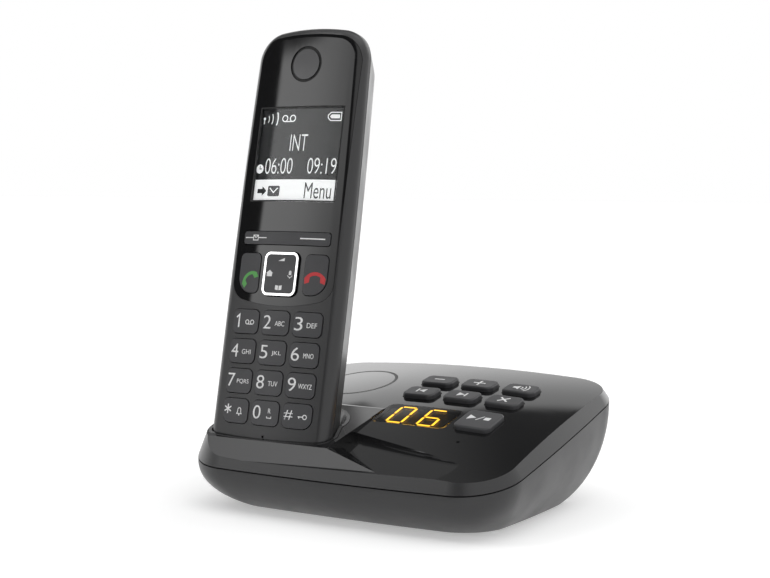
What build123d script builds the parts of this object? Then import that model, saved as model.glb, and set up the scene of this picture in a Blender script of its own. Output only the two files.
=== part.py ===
"""Answering machine: a cordless handset standing in its charging base.

The origin is at the middle of the base on the desk, +X to the right, +Y to the back, +Z up.
"""

import os
from math import cos, degrees, radians, sin

from build123d import *

os.makedirs("parts", exist_ok=True)

# Base casing: bowed sides and round corners, the seam and the deck slope down to the front
seam_half_x = 65.0
seam_half_y = 53.7
seam_corner = 19.0
side_bow_x = 1.4
side_bow_y = 1.8
seam_height = 27.9
deck_slope = 12.95
foot_half_x = 53.1
foot_half_y = 37.4
foot_corner = 16.0
foot_shift = -2.3
foot_height = 0.8
bowl_turn = 62.0
shell_wall = 2.2
seam_groove = 0.45
seam_groove_depth = 1.0

# Top cover: a band that leans inwards, and a crown that bulges both ways
cover_wall = 2.0
band_lean = 0.5
crown_height = 8.0
crown_radius_x = 700.0
crown_radius_y = 520.0
front_web = 2.4
front_web_reach = 24.0

# Handset, leaning back in the cradle
handset_x = -32.4
handset_front = -43.6
handset_lip_height = 26.1
handset_lean = 11.97
handset_half_width = 25.0
handset_depth = 24.4
front_bulge = 6.4
parting_gap = 0.2
front_bow = 1.0
front_bow_at = 18.0
side_depth = 6.6
back_half_width = 17.9
back_bow = 2.4
front_edge_radius = 4.0
back_edge_radius = 8.0
handset_top = 149.7
handset_bottom = -7.5
end_bow = 2.6
taper_start = 40.0
taper = 2.0
top_corner = 11.5
bottom_corner = 9.5
back_top_drop = 5.0
casing_wall = 2.6
skin = 1.4
skin_gap = 0.2

# Gloss panel on the upper front of the handset
panel_half_top = 22.4
panel_half_bottom = 21.6
panel_top = 144.4
panel_top_crown = 2.4
panel_bottom = 51.0
panel_bottom_sag = 3.5
panel_top_corner = 10.0
panel_bottom_corner = 7.0
panel_gap = 0.1
panel_reach = 4.4

# Handset display
window_half = 18.3
window_low = 85.3
window_high = 120.2
window_ledge = 0.4
display_depth = 2.6
fit_gap = 0.1

# Earpiece
earpiece_height = 135.7
earpiece_radius = 5.6
earpiece_groove = 1.1

# Handset keys
key_pitch_x = 13.34
key_pitch_y = 10.7
key_width = 11.55
key_length = 8.6
key_corner = 2.0
key_outer_corner = 3.6
key_row_height = 9.3
key_gap = 0.28
key_proud = 0.35
key_travel = 0.5
key_flange_depth = 3.9
key_flange = 0.5
key_flange_side = -1.0
key_flange_end = 0.6
key_rest_gap = 0.1
call_key_inner = 9.7
call_key_outer = 18.9
call_key_low = 51.8
call_key_high = 66.2
call_key_outer_corner = 6.0
softkey_half = 18.6
softkey_height = 4.6
softkey_centre = 71.85
nav_half_width = 7.2
nav_half_height = 7.8
nav_centre = 58.9
nav_corner = 2.4
nav_ring_width = 0.8
nav_proud = 1.0
nav_soft = 0.3
nav_gap = 0.4

# Handset inside
keymat_thickness = 0.5
board_depth = 5.8
board_thickness = 1.0
board_half = 19.6
board_low = -2.0
mat_half = 18.0
rail_inner = 18.6
rail_depth = 4.6
board_high = 141.0
cell_radius = 5.1
cell_length = 44.5
cell_spacing = 10.9
cell_low = 27.6
tray_floor_depth = 8.6
tray_wall = 1.3
contact_spacing = 16.0
contact_depth = 12.0
contact_width = 4.0
contact_length = 3.0

# Battery cover
cover_half = 14.5
cover_low = 22.0
cover_high = 80.0
cover_corner = 3.0
lid_gap = 0.25

# Cradle cup
spring_radius = 1.2
spring_tip_gap = 0.1
cup_gap = 0.5
cup_wall = 1.2
cup_rim = 8.5
cup_floor_gap = 0.3
cup_fit = 0.15
flare_half_x = 22.6
flare_half_y = 18.5
flare_centre_y = -24.5
flare_low = -4.0
flare_low_half_x = 18.0
flare_low_half_y = 9.0
flare_low_centre_y = -27.0

# Cradle block on the cover, with the facet in front and a ridge that runs out to the right
block_right = -4.0
block_height = 8.35
facet_top_y = -44.9
facet_foot_y = -51.6
facet_foot = 3.1
block_back_y = -6.0
block_end_y = 8.0
ridge_end_x = 22.5
scoop_near = (-9.9, -25.2)
scoop_far = (45.0, -37.0)
scoop_bow = 1.3
scoop_lead = 62.0
scoop_depth = 2.4
scoop_run = 3.8
scoop_rise = 0.06

# Base keys on the deck (x to the right, y up the slope)
deck_key_columns = (1.8, 18.7, 35.6)
deck_key_rows = (25.4, 11.6)
deck_key_width = 13.0
deck_key_length = 8.8
deck_key_corner = 2.4
deck_key_proud = 1.7
deck_key_soft = 0.7
deck_key_gap = 0.3
deck_key_travel = 0.8
deck_flange_top = 3.6
deck_flange = 0.7
deck_flange_wide = 0.8
play_centre = (35.8, -8.2)
play_width = 13.8
play_length = 14.6
key_mat_gap = 0.1
mat_thickness = 0.6
mat_margin = 1.4
key_board_top = 1.2
key_board_thickness = 1.6

# Message counter window
counter_centre = (10.7, -8.1)
counter_width = 29.8
counter_length = 16.8
counter_corner = 2.5
counter_ledge = 0.8
counter_skin = 1.4

# Paging button
paging_centre = (-32.4, 22.0)
paging_radius = 14.0
paging_gap = 0.5
paging_flange = 1.2
paging_flange_top = 2.8
paging_flange_thickness = 0.7

# Microphone
mic_hole = (36.0, -24.5)
mic_hole_radius = 0.6
mic_radius = 3.0
mic_height = 2.2
mic_roof = 1.4

# Base inside
board_x = 48.0
board_y = 33.0
base_board_height = 6.0
base_board_thickness = 1.6
standoff_radius = 2.6
standoffs = ((-40.0, -14.0), (-40.0, 22.0), (0.0, -24.0), (8.0, 28.0))
screw_posts = ((-49.0, 32.0), (49.0, 31.0), (49.0, -27.0), (2.0, -35.0))
post_radius = 4.0
boss_radius = 3.2
post_split = 14.0
screw_radius = 1.25
screw_head_radius = 2.6
screw_head_height = 1.8
screw_length = 14.0
screw_recess = 3.0
screw_play = 0.1
speaker_centre = (30.0, 6.0)
speaker_radius = 14.0
speaker_height = 6.0
grille_radius = 0.9
grille_pitch = 4.2
grille_rings = 3
foot_pad_radius = 5.0
foot_pad_inset = 0.8
foot_pads = ((-38.0, 24.0), (38.0, 24.0), (38.0, -28.0), (-38.0, -28.0))

shield_centre = (-12.0, 14.0)
shield_size = (26.0, 18.0, 3.0)

# Sockets in the rear recess
recess_half = 24.0
recess_low = 4.5
recess_high = 22.5
recess_front = 36.0
recess_wall = 2.0
socket_offset = 13.0
socket_depth = 13.0
socket_height = 12.0
socket_rim = 1.8
line_opening = (9.8, 6.8)
power_opening = (7.8, 5.4)
opening_depth = 10.0

# Planes
deck = Plane(
    origin=(0, 0, seam_height),
    x_dir=(1, 0, 0),
    z_dir=(0, -sin(radians(deck_slope)), cos(radians(deck_slope))),
)
face = Plane(
    origin=(handset_x, handset_front, handset_lip_height),
    x_dir=(1, 0, 0),
    z_dir=(0, -cos(radians(handset_lean)), sin(radians(handset_lean))),
)
big = 200.0


def casing_outline(half_x, half_y, corner):
    """Rectangle with bowed sides and round corners."""
    x = half_x - side_bow_x
    y = half_y - side_bow_y
    with BuildSketch() as shape:
        with BuildLine():
            ThreePointArc((-x, -y), (0, -half_y), (x, -y))
            ThreePointArc((x, -y), (half_x, 0), (x, y))
            ThreePointArc((x, y), (0, half_y), (-x, y))
            ThreePointArc((-x, y), (-half_x, 0), (-x, -y))
        make_face()
        fillet(shape.vertices(), radius=corner)
    return shape.sketch


def rounded(width, length, corner, centre=(0, 0)):
    """Rounded rectangle."""
    with BuildSketch() as shape:
        with Locations(centre):
            RectangleRounded(width, length, corner)
    return shape.sketch


def block(plane, outline, start, end):
    """Outline extruded along its plane's normal, from start to end."""
    with BuildPart() as body:
        with BuildSketch(plane.offset(start)):
            add(outline)
        extrude(amount=end - start)
    return body.part


def crown_at(x, y):
    """Height of the crown above the seam plane."""
    return crown_height - x**2 / (2 * crown_radius_x) - y**2 / (2 * crown_radius_y)


def crown(drop):
    """Everything under the crown, lowered by drop: an arc along x swept about an axis far below."""
    axis_low = crown_height - crown_radius_y
    half = seam_half_x + 5
    low = -32.0
    with BuildPart() as body:
        with BuildSketch(Plane(origin=deck.origin, x_dir=(1, 0, 0), z_dir=-deck.y_dir)):
            with BuildLine():
                edge = crown_at(half, 0) - drop
                ThreePointArc((-half, edge), (0, crown_height - drop), (half, edge))
                Polyline((half, edge), (half, low), (-half, low), (-half, edge))
            make_face()
        revolve(axis=Axis(deck.from_local_coords((0, 0, axis_low)), (1, 0, 0)))
    return body.part


def cover_prism(inset):
    """Outline of the cover, leaning inwards as it rises."""
    top = 14.0
    with BuildPart() as body:
        for level in (0, top):
            shrink = inset + band_lean * level
            with BuildSketch(deck.offset(level)):
                add(casing_outline(seam_half_x - shrink, seam_half_y - shrink, seam_corner - shrink))
        loft(ruled=True)
    return body.part


def bowl(inset, floor):
    """Lower casing: its wall turns from upright at the seam to the underside."""
    steps = 5
    with BuildPart() as body:
        for step in range(steps + 1):
            turn = radians(bowl_turn * step / steps)
            drop = sin(turn) / sin(radians(bowl_turn))
            tuck = (1 - cos(turn)) / (1 - cos(radians(bowl_turn)))
            slope = radians(deck_slope * (1 - drop))
            level = Plane(
                origin=(0, foot_shift * tuck, seam_height - (seam_height - foot_height - floor) * drop),
                x_dir=(1, 0, 0),
                z_dir=(0, -sin(slope), cos(slope)),
            )
            half_x = seam_half_x - (seam_half_x - foot_half_x) * tuck - inset
            half_y = seam_half_y - (seam_half_y - foot_half_y) * tuck - inset
            corner = seam_corner - (seam_corner - foot_corner) * tuck - inset
            with BuildSketch(level):
                add(casing_outline(half_x, half_y, corner))
        loft()
    return body.part


def handset_section(height):
    """Plane across the handset; its y runs backwards from the face."""
    origin = face.from_local_coords((0, height, 0))
    return Plane(origin=origin, x_dir=(1, 0, 0), z_dir=face.y_dir)


def handset_outline(inset):
    """Cross-section: a slightly bowed front, upright sides and a round back."""
    side = handset_half_width
    edge = front_bow * (side / front_bow_at) ** 2
    with BuildSketch() as shape:
        with BuildLine():
            ThreePointArc((-side, edge), (0, 0), (side, edge))
            Line((side, edge), (side, side_depth))
            Line((side, side_depth), (back_half_width, handset_depth - back_bow))
            ThreePointArc(
                (back_half_width, handset_depth - back_bow),
                (0, handset_depth),
                (-back_half_width, handset_depth - back_bow),
            )
            Line((-back_half_width, handset_depth - back_bow), (-side, side_depth))
            Line((-side, side_depth), (-side, edge))
        make_face()
        corners = shape.vertices().sort_by(Axis.Y)
        fillet(corners[:2], radius=front_edge_radius)
        fillet(shape.vertices().sort_by(Axis.Y)[-2:], radius=back_edge_radius)
        if inset:
            offset(amount=-inset, mode=Mode.REPLACE)
    return shape.sketch


def end_outline(half, low, high, inset):
    """Front view of the handset, inset: bowed ends, and sides that draw in towards the top."""
    side = half - inset
    bottom = (half**2 + end_bow**2) / (2 * end_bow) - inset
    top = ((half - taper) ** 2 + end_bow**2) / (2 * end_bow) - inset
    start = low + inset + bottom - (bottom**2 - side**2) ** 0.5
    last = side - taper
    end = high - inset - top + (top**2 - last**2) ** 0.5
    with BuildSketch() as shape:
        with BuildLine():
            ThreePointArc((-side, start), (0, low + inset), (side, start))
            Line((side, start), (side, taper_start))
            TangentArc((side, taper_start), (last, end), tangent=(0, 1))
            ThreePointArc((last, end), (0, high - inset), (-last, end))
            TangentArc((-side, taper_start), (-last, end), tangent=(0, 1))
            Line((-side, taper_start), (-side, start))
        make_face()
        fillet(shape.vertices().sort_by(Axis.Y)[:2], radius=bottom_corner - inset)
        fillet(shape.vertices().sort_by(Axis.Y)[-2:], radius=top_corner - inset)
    return shape.sketch


def handset_slab(inset):
    """Room between the bowed front and the bowed back."""
    wide = handset_half_width + 5
    front = front_bow * (wide / front_bow_at) ** 2 + inset
    back = handset_depth - back_bow * (wide / back_half_width) ** 2 - inset
    with BuildPart() as body:
        with BuildSketch(handset_section(handset_bottom - 10)):
            with BuildLine():
                ThreePointArc((-wide, front), (0, inset), (wide, front))
                Line((wide, front), (wide, back))
                ThreePointArc((wide, back), (0, handset_depth - inset), (-wide, back))
                Line((-wide, back), (-wide, front))
            make_face()
        extrude(amount=handset_top - handset_bottom + 20)
    return body.part


def handset_form(inset):
    """The whole handset, moved inwards by inset, its front and back edges rounded all the way round."""
    draft = (handset_half_width - back_half_width) / (handset_depth - back_bow - side_depth)
    narrow = handset_half_width - draft * (handset_depth - side_depth)
    with BuildPart() as body:
        with BuildSketch(face.offset(10)):
            add(end_outline(handset_half_width, handset_bottom, handset_top, inset))
        extrude(amount=-10 - side_depth)
        with BuildSketch(face.offset(-side_depth)):
            add(end_outline(handset_half_width, handset_bottom, handset_top, inset))
        with BuildSketch(face.offset(-handset_depth)):
            add(end_outline(narrow, handset_bottom, handset_top - back_top_drop, inset))
        loft(ruled=True)
        add(handset_slab(inset), mode=Mode.INTERSECT)
        depths = Axis(face.origin, -face.z_dir)
        front = body.faces().sort_by(depths)[0]
        fillet(front.edges(), radius=front_edge_radius - inset)
        back = body.faces().sort_by(depths)[-1]
        fillet(back.edges(), radius=back_edge_radius - inset)
    return body.part


def panel_outline(grow=0.0):
    """U-shaped outline of the gloss panel."""
    low = panel_bottom - grow
    high = panel_top + grow
    wide = panel_half_top + grow
    narrow = panel_half_bottom + grow
    with BuildSketch() as shape:
        with BuildLine():
            ThreePointArc((-narrow, low), (0, low - panel_bottom_sag), (narrow, low))
            Line((narrow, low), (wide, high))
            ThreePointArc((wide, high), (0, high + panel_top_crown), (-wide, high))
            Line((-wide, high), (-narrow, low))
        make_face()
        corners = shape.vertices().sort_by(Axis.Y)
        fillet(corners[:2], radius=panel_bottom_corner)
        fillet(shape.vertices().sort_by(Axis.Y)[-2:], radius=panel_top_corner)
    return shape.sketch


def number_key_outline(column, row, grow=0.0):
    """Rounded key; the two lower outer corners of the keypad are rounder."""
    centre = (column * key_pitch_x, key_row_height + row * key_pitch_y)
    with BuildSketch() as shape:
        with Locations(centre):
            Rectangle(key_width + 2 * grow, key_length + 2 * grow)
        corners = shape.vertices()
        if row == 0 and column != 0:
            lower = corners.sort_by(Axis.Y)[:2].sort_by(Axis.X)
            special = lower[-1] if column > 0 else lower[0]
            fillet(special, radius=key_outer_corner + grow)
            corners = shape.vertices().filter_by(
                lambda v: abs(abs(v.X - centre[0]) - key_width / 2 - grow) < 0.01
                and abs(abs(v.Y - centre[1]) - key_length / 2 - grow) < 0.01
            )
        fillet(corners, radius=key_corner + grow)
    return shape.sketch


def call_key_outline(side, grow=0.0):
    """Talk key (side -1) and end key (side 1), round at the lower outer corner."""
    inner = side * (call_key_inner - grow)
    outer = side * (call_key_outer + grow)
    low = call_key_low - grow
    high = call_key_high + grow
    with BuildSketch() as shape:
        with BuildLine():
            Polyline((inner, low), (outer, low), (outer, high), (inner, high), close=True)
        make_face()
        lower = shape.vertices().sort_by(Axis.Y)[:2].sort_by(Axis.X)
        fillet(lower[-1] if side > 0 else lower[0], radius=call_key_outer_corner + grow)
        corners = shape.vertices().filter_by(
            lambda v: abs(v.X - inner) < 0.01 or (abs(v.X - outer) < 0.01 and abs(v.Y - high) < 0.01)
        )
        fillet(corners, radius=key_corner + grow)
    return shape.sketch


def nav_outline(grow=0.0):
    size = (2 * (nav_half_width + grow), 2 * (nav_half_height + grow))
    return rounded(size[0], size[1], nav_corner + grow, (0, nav_centre))


def softkey_outline(grow=0.0):
    size = (2 * (softkey_half + grow), softkey_height + 2 * grow)
    return rounded(size[0], size[1], key_corner / 2 + grow, (0, softkey_centre))


def window_outline(grow=0.0):
    middle = (0, (window_low + window_high) / 2)
    return rounded(2 * (window_half + grow), window_high - window_low + 2 * grow, 0.6 + grow, middle)


def disc(radius, centre):
    with BuildSketch() as shape:
        with Locations(centre):
            Circle(radius)
    return shape.sketch


def handset_number_keys():
    """Names of the twelve keys with their column and row."""
    names = ("star", "0", "hash", "7", "8", "9", "4", "5", "6", "1", "2", "3")
    return [(name, index % 3 - 1, index // 3) for index, name in enumerate(names)]


# Shared forms of the handset
whole = handset_form(0.0)
under_skin = handset_form(skin)
under_lid = handset_form(skin + skin_gap)
inside = handset_form(casing_wall)
key_tops = handset_slab(-key_proud)
front_half = block(face, rounded(big, 2 * big, 1), -front_bulge, big)
back_half = block(face, rounded(big, 2 * big, 1), -big, -front_bulge - parting_gap)
front_reach = front_bulge - 0.6


def through_front(outline):
    """Outline driven through the front of the handset, short of the parting plane."""
    return block(face, outline, -front_reach, 5)


def front_part(form):
    """The piece of a form in front of the parting plane."""
    with BuildPart() as body:
        add(form)
        add(front_half, mode=Mode.INTERSECT)
    return body.part


def panel_recess():
    with BuildPart() as body:
        add(block(face, panel_outline(panel_gap), -panel_reach, 5))
        add(under_skin, mode=Mode.SUBTRACT)
    return body.part


def board_rails():
    """Three short rails along each side of the front frame that carry the board."""
    with BuildPart() as body:
        with BuildSketch(face.offset(-board_depth)):
            for side in (-1, 1):
                with Locations((side * (rail_inner + 2), (board_low + board_high) / 2)):
                    with GridLocations(0, 50, 1, 3):
                        Rectangle(4, 24)
        extrude(amount=board_depth - rail_depth)
        add(whole, mode=Mode.INTERSECT)
    return body.part


def sound_holes():
    """Slots round the earpiece cap and the microphone hole."""
    with BuildSketch() as shape:
        with Locations((0, earpiece_height)):
            with PolarLocations(earpiece_radius + earpiece_groove / 2, 6):
                Circle(0.45)
        with Locations((0, board_low + 3)):
            Circle(0.5)
    return shape.sketch


call_openings = [
    through_front(call_key_outline(-1, key_gap)),
    through_front(call_key_outline(1, key_gap)),
    through_front(softkey_outline(key_gap)),
    through_front(nav_outline(nav_gap)),
]
number_openings = [
    through_front(number_key_outline(column, row, key_gap)) for name, column, row in handset_number_keys()
]
front_whole = front_part(whole)

# Handset front frame: the shell half in front of the parting plane
with BuildPart() as front_frame:
    add(front_whole)
    add(front_part(inside), mode=Mode.SUBTRACT)
    add(panel_recess(), mode=Mode.SUBTRACT)
    add(
        [
            *number_openings,
            *call_openings,
            through_front(window_outline(-window_ledge)),
            through_front(sound_holes()),
        ],
        mode=Mode.SUBTRACT,
    )
    add(board_rails())
front_frame.part.label = "handset_front_frame"
export_step(front_frame.part, "parts/handset_front_frame.step")

# Gloss panel: a skin let into the frame
with BuildPart() as gloss_panel:
    add(block(face, panel_outline(), -panel_reach, 5))
    add(whole, mode=Mode.INTERSECT)
    add(under_skin, mode=Mode.SUBTRACT)
    add(
        [
            *call_openings,
            through_front(window_outline(fit_gap / 2)),
            through_front(disc(earpiece_radius + earpiece_groove, (0, earpiece_height))),
        ],
        mode=Mode.SUBTRACT,
    )
gloss_panel.part.label = "handset_gloss_panel"
export_step(gloss_panel.part, "parts/handset_gloss_panel.step")

# Display window
with BuildPart() as handset_window:
    add(through_front(window_outline(-fit_gap / 2)))
    add(whole, mode=Mode.INTERSECT)
    add(under_skin, mode=Mode.SUBTRACT)
handset_window.part.label = "handset_window"
export_step(handset_window.part, "parts/handset_window.step")

# Display module, seated on the handset board
with BuildPart() as handset_display:
    with BuildSketch(face.offset(-board_depth)):
        add(window_outline(-window_ledge - fit_gap))
    extrude(amount=board_depth - display_depth)
handset_display.part.label = "handset_display"
export_step(handset_display.part, "parts/handset_display.step")

# Earpiece cap: a disc in a ring groove
with BuildPart() as earpiece_cap:
    add(through_front(disc(earpiece_radius, (0, earpiece_height))))
    add(whole, mode=Mode.INTERSECT)
    add(under_skin, mode=Mode.SUBTRACT)
earpiece_cap.part.label = "earpiece_cap"
export_step(earpiece_cap.part, "parts/earpiece_cap.step")

# Earpiece speaker between the frame and the board
with BuildPart() as earpiece_speaker:
    with BuildSketch(face.offset(-board_depth)):
        add(disc(earpiece_radius + earpiece_groove, (0, earpiece_height - 2)))
    extrude(amount=board_depth - casing_wall - 1.2)
earpiece_speaker.part.label = "earpiece_speaker"
export_step(earpiece_speaker.part, "parts/earpiece_speaker.step")

# Number keys: cap with a flange at both ends that holds it in the frame
for name, column, row in handset_number_keys():
    with BuildPart() as number_key:
        with BuildSketch(face.offset(-key_flange_depth)):
            add(number_key_outline(column, row))
        extrude(amount=key_flange_depth + 3)
        add(key_tops, mode=Mode.INTERSECT)
        with BuildSketch(face.offset(-key_flange_depth)):
            with Locations((column * key_pitch_x, key_row_height + row * key_pitch_y)):
                Rectangle(key_width + 2 * key_flange_side, key_length + 2 * key_flange_end)
        extrude(amount=-key_flange)
    number_key.part.label = "key_" + name
    export_step(number_key.part, "parts/key_" + name + ".step")

# Talk and end keys
for side, name in ((-1, "talk_key"), (1, "end_key")):
    with BuildPart() as call_key:
        with BuildSketch(face.offset(-key_flange_depth)):
            add(call_key_outline(side))
        extrude(amount=key_flange_depth + 3)
        add(key_tops, mode=Mode.INTERSECT)
        middle = side * (call_key_inner + call_key_outer) / 2
        with BuildSketch(face.offset(-key_flange_depth)):
            with Locations((middle, (call_key_low + call_key_high) / 2)):
                flange_length = call_key_high - call_key_low + 2 * key_flange_end
                Rectangle(call_key_outer - call_key_inner - 4, flange_length)
        extrude(amount=-key_flange)
    call_key.part.label = name
    export_step(call_key.part, "parts/" + name + ".step")

# Soft-key bar: one rocker with a rib at its middle
mat_depth = key_flange_depth + key_flange + key_travel + key_rest_gap
with BuildPart() as softkey_bar:
    with BuildSketch(face.offset(-key_flange_depth)):
        add(softkey_outline())
    extrude(amount=key_flange_depth + 3)
    add(key_tops, mode=Mode.INTERSECT)
    with BuildSketch(face.offset(-key_flange_depth)):
        with Locations((0, softkey_centre)):
            Rectangle(2, softkey_height - 1)
    extrude(amount=-(mat_depth - key_rest_gap - key_flange_depth))
softkey_bar.part.label = "softkey_bar"
export_step(softkey_bar.part, "parts/softkey_bar.step")

# Navigation key: pad, bright ring round it, and the little pivot under it
pivot_depth = mat_depth
with BuildPart() as nav_pad:
    with BuildSketch(face.offset(-key_flange_depth)):
        add(nav_outline(-nav_ring_width))
    extrude(amount=key_flange_depth + nav_proud)
    fillet(nav_pad.faces().sort_by(Axis(face.origin, face.z_dir))[-1].edges(), radius=nav_soft)
    with BuildSketch(face.offset(-key_flange_depth)):
        add(disc(1.5, (0, nav_centre)))
    extrude(amount=-(pivot_depth - 0.3 - key_flange_depth))
nav_pad.part.label = "nav_pad"
export_step(nav_pad.part, "parts/nav_pad.step")

with BuildPart() as nav_ring:
    with BuildSketch(face.offset(-key_flange_depth + 1)):
        add(nav_outline())
        add(nav_outline(-nav_ring_width), mode=Mode.SUBTRACT)
    extrude(amount=key_flange_depth - 1 + nav_proud)
nav_ring.part.label = "nav_ring"
export_step(nav_ring.part, "parts/nav_ring.step")

with BuildPart() as nav_gimbal:
    with BuildSketch(face.offset(-board_depth + 0.1)):
        add(disc(1.5, (0, nav_centre)))
    extrude(amount=board_depth - 0.1 - pivot_depth + 0.2)
nav_gimbal.part.label = "nav_gimbal"
export_step(nav_gimbal.part, "parts/nav_gimbal.step")

# Key mat: a sheet under the keys, open round the gimbal and the soft-key rib
mat_low = key_row_height - key_pitch_y / 2
mat_high = softkey_centre + softkey_height / 2
with BuildPart() as handset_keymat:
    with BuildSketch(face.offset(-mat_depth - keymat_thickness)):
        with Locations((0, (mat_low + mat_high) / 2)):
            RectangleRounded(2 * mat_half, mat_high - mat_low, 2)
        with Locations((0, nav_centre)):
            Circle(2.5, mode=Mode.SUBTRACT)
    extrude(amount=keymat_thickness)
    with BuildSketch(face.offset(-mat_depth - keymat_thickness)):
        for name, column, row in handset_number_keys():
            with Locations((column * key_pitch_x, key_row_height + row * key_pitch_y)):
                Circle(1.6)
    extrude(amount=-(board_depth - mat_depth - keymat_thickness))
handset_keymat.part.label = "handset_keymat"
export_step(handset_keymat.part, "parts/handset_keymat.step")

# Handset board, cut to follow the casing's round top
with BuildPart() as handset_board:
    with BuildSketch(face.offset(-board_depth - board_thickness)):
        with Locations((0, (board_low + board_high) / 2)):
            RectangleRounded(2 * board_half, board_high - board_low, 5)
    extrude(amount=board_thickness)
handset_board.part.label = "handset_board"
export_step(handset_board.part, "parts/handset_board.step")

# Handset microphone at the low end of the board
with BuildPart() as handset_microphone:
    with BuildSketch(face.offset(-board_depth)):
        add(disc(1.7, (0, board_low + 2.3)))
    extrude(amount=1.4)
handset_microphone.part.label = "handset_microphone"
export_step(handset_microphone.part, "parts/handset_microphone.step")

# Back shell with the battery tray; the lid lies in a step of its skin
tray_half = cell_spacing / 2 + cell_radius + 0.4
tray_low = cell_low - 1.8
tray_high = cell_low + cell_length + 1.8
lid_middle = (0, (cover_low + cover_high) / 2)
lid_length = cover_high - cover_low


def lid_outline(grow=0.0):
    return rounded(2 * (cover_half + grow), lid_length + 2 * grow, cover_corner + grow, lid_middle)


def battery_tray():
    """Tray block whose rim bears on the back of the board."""
    height = (tray_low + tray_high) / 2
    length = tray_high - tray_low
    with BuildPart() as body:
        with BuildSketch(face.offset(-board_depth - board_thickness)):
            with Locations((0, height)):
                Rectangle(2 * (tray_half + tray_wall), length + 2 * tray_wall)
        extrude(amount=-handset_depth)
        add(whole, mode=Mode.INTERSECT)
        with BuildSketch(face.offset(-board_depth - board_thickness)):
            with Locations((0, height)):
                Rectangle(2 * tray_half, length)
        extrude(amount=-(tray_floor_depth - board_depth - board_thickness), mode=Mode.SUBTRACT)
    return body.part


def lid_step():
    with BuildPart() as body:
        add(block(face, lid_outline(lid_gap), -big, -front_bulge - 6))
        add(under_lid, mode=Mode.SUBTRACT)
    return body.part


with BuildPart() as back_shell:
    add(whole)
    add(back_half, mode=Mode.INTERSECT)
    add(inside, mode=Mode.SUBTRACT)
    add(battery_tray())
    with BuildSketch(face.offset(-tray_floor_depth - tray_wall)):
        with Locations((0, (tray_low + tray_high) / 2)):
            Rectangle(2 * tray_half, tray_high - tray_low)
    extrude(amount=-big, mode=Mode.SUBTRACT)
    add(lid_step(), mode=Mode.SUBTRACT)
    # openings for the charging pads, and slots for the ringer
    with BuildSketch(handset_section(handset_bottom - 1)):
        for side in (-1, 1):
            with Locations((side * contact_spacing / 2, contact_depth)):
                Rectangle(contact_width, contact_length)
    extrude(amount=casing_wall + 2, mode=Mode.SUBTRACT)
    with BuildSketch(face.offset(-front_bulge - 8)):
        with Locations((0, 112)):
            with GridLocations(0, 3, 1, 5):
                SlotOverall(14, 1.2)
    extrude(amount=-big, mode=Mode.SUBTRACT)
back_shell.part.label = "handset_back_shell"
export_step(back_shell.part, "parts/handset_back_shell.step")

# Battery lid: a piece of the skin, hooked at its top edge and levered open at its low edge
with BuildPart() as battery_cover:
    with BuildSketch(face.offset(-front_bulge - 6)):
        add(lid_outline())
    extrude(amount=-big)
    add(whole, mode=Mode.INTERSECT)
    add(under_skin, mode=Mode.SUBTRACT)
battery_cover.part.label = "battery_cover"
export_step(battery_cover.part, "parts/battery_cover.step")

# Two cells side by side
cell_depth = tray_floor_depth + tray_wall + cell_radius
with BuildPart() as battery_cells:
    with BuildSketch(handset_section(cell_low)):
        with Locations((-cell_spacing / 2, cell_depth), (cell_spacing / 2, cell_depth)):
            Circle(cell_radius)
    extrude(amount=cell_length)
battery_cells.part.label = "battery_cells"
export_step(battery_cells.part, "parts/battery_cells.step")

# Battery contacts: a plate and a spring turn at each end of each cell
with BuildPart() as battery_contacts:
    for height, turn in ((tray_low, 1), (tray_high, -1)):
        with BuildSketch(handset_section(height)):
            with Locations((-cell_spacing / 2, cell_depth), (cell_spacing / 2, cell_depth)):
                Rectangle(7, 7)
        extrude(amount=turn * 0.5)
        with BuildSketch(handset_section(height)):
            with Locations((-cell_spacing / 2, cell_depth), (cell_spacing / 2, cell_depth)):
                Circle(2.2)
        extrude(amount=turn * (cell_low - tray_low))
battery_contacts.part.label = "battery_contacts"
export_step(battery_contacts.part, "parts/battery_contacts.step")

# Charging pads in the handset's bottom
with BuildPart() as handset_contacts:
    with BuildSketch(handset_section(handset_bottom)):
        for side in (-1, 1):
            with Locations((side * contact_spacing / 2, contact_depth)):
                Rectangle(contact_width - 0.1, contact_length - 0.1)
    extrude(amount=casing_wall)
handset_contacts.part.label = "handset_contacts"
export_step(handset_contacts.part, "parts/handset_contacts.step")

# Ringer speaker behind the slots, on the back of the board
with BuildPart() as ringer_speaker:
    with BuildSketch(face.offset(-board_depth - board_thickness)):
        add(disc(9, (0, 112)))
    extrude(amount=-8)
ringer_speaker.part.label = "ringer_speaker"
export_step(ringer_speaker.part, "parts/ringer_speaker.step")

# Cradle cup: a liner that follows the handset, open to the back, cut off at the rim plane
deck_below_rim = block(deck, rounded(big, big, 1), -60, cup_rim)


def cup_shaft(grow, floor):
    """Room round the handset's foot, with the flare behind it."""
    with BuildPart() as body:
        with BuildSketch(handset_section(floor)):
            add(handset_outline(-grow))
        extrude(amount=60)
    return body.part


def cup_flare(grow):
    with BuildPart() as body:
        with BuildSketch(deck.offset(flare_low - grow)):
            with Locations((handset_x, flare_low_centre_y)):
                Ellipse(flare_low_half_x + grow, flare_low_half_y + grow)
        with BuildSketch(deck.offset(cup_rim + 3)):
            with Locations((handset_x, flare_centre_y)):
                Ellipse(flare_half_x + grow, flare_half_y + grow)
        loft(ruled=True)
    return body.part


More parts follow.
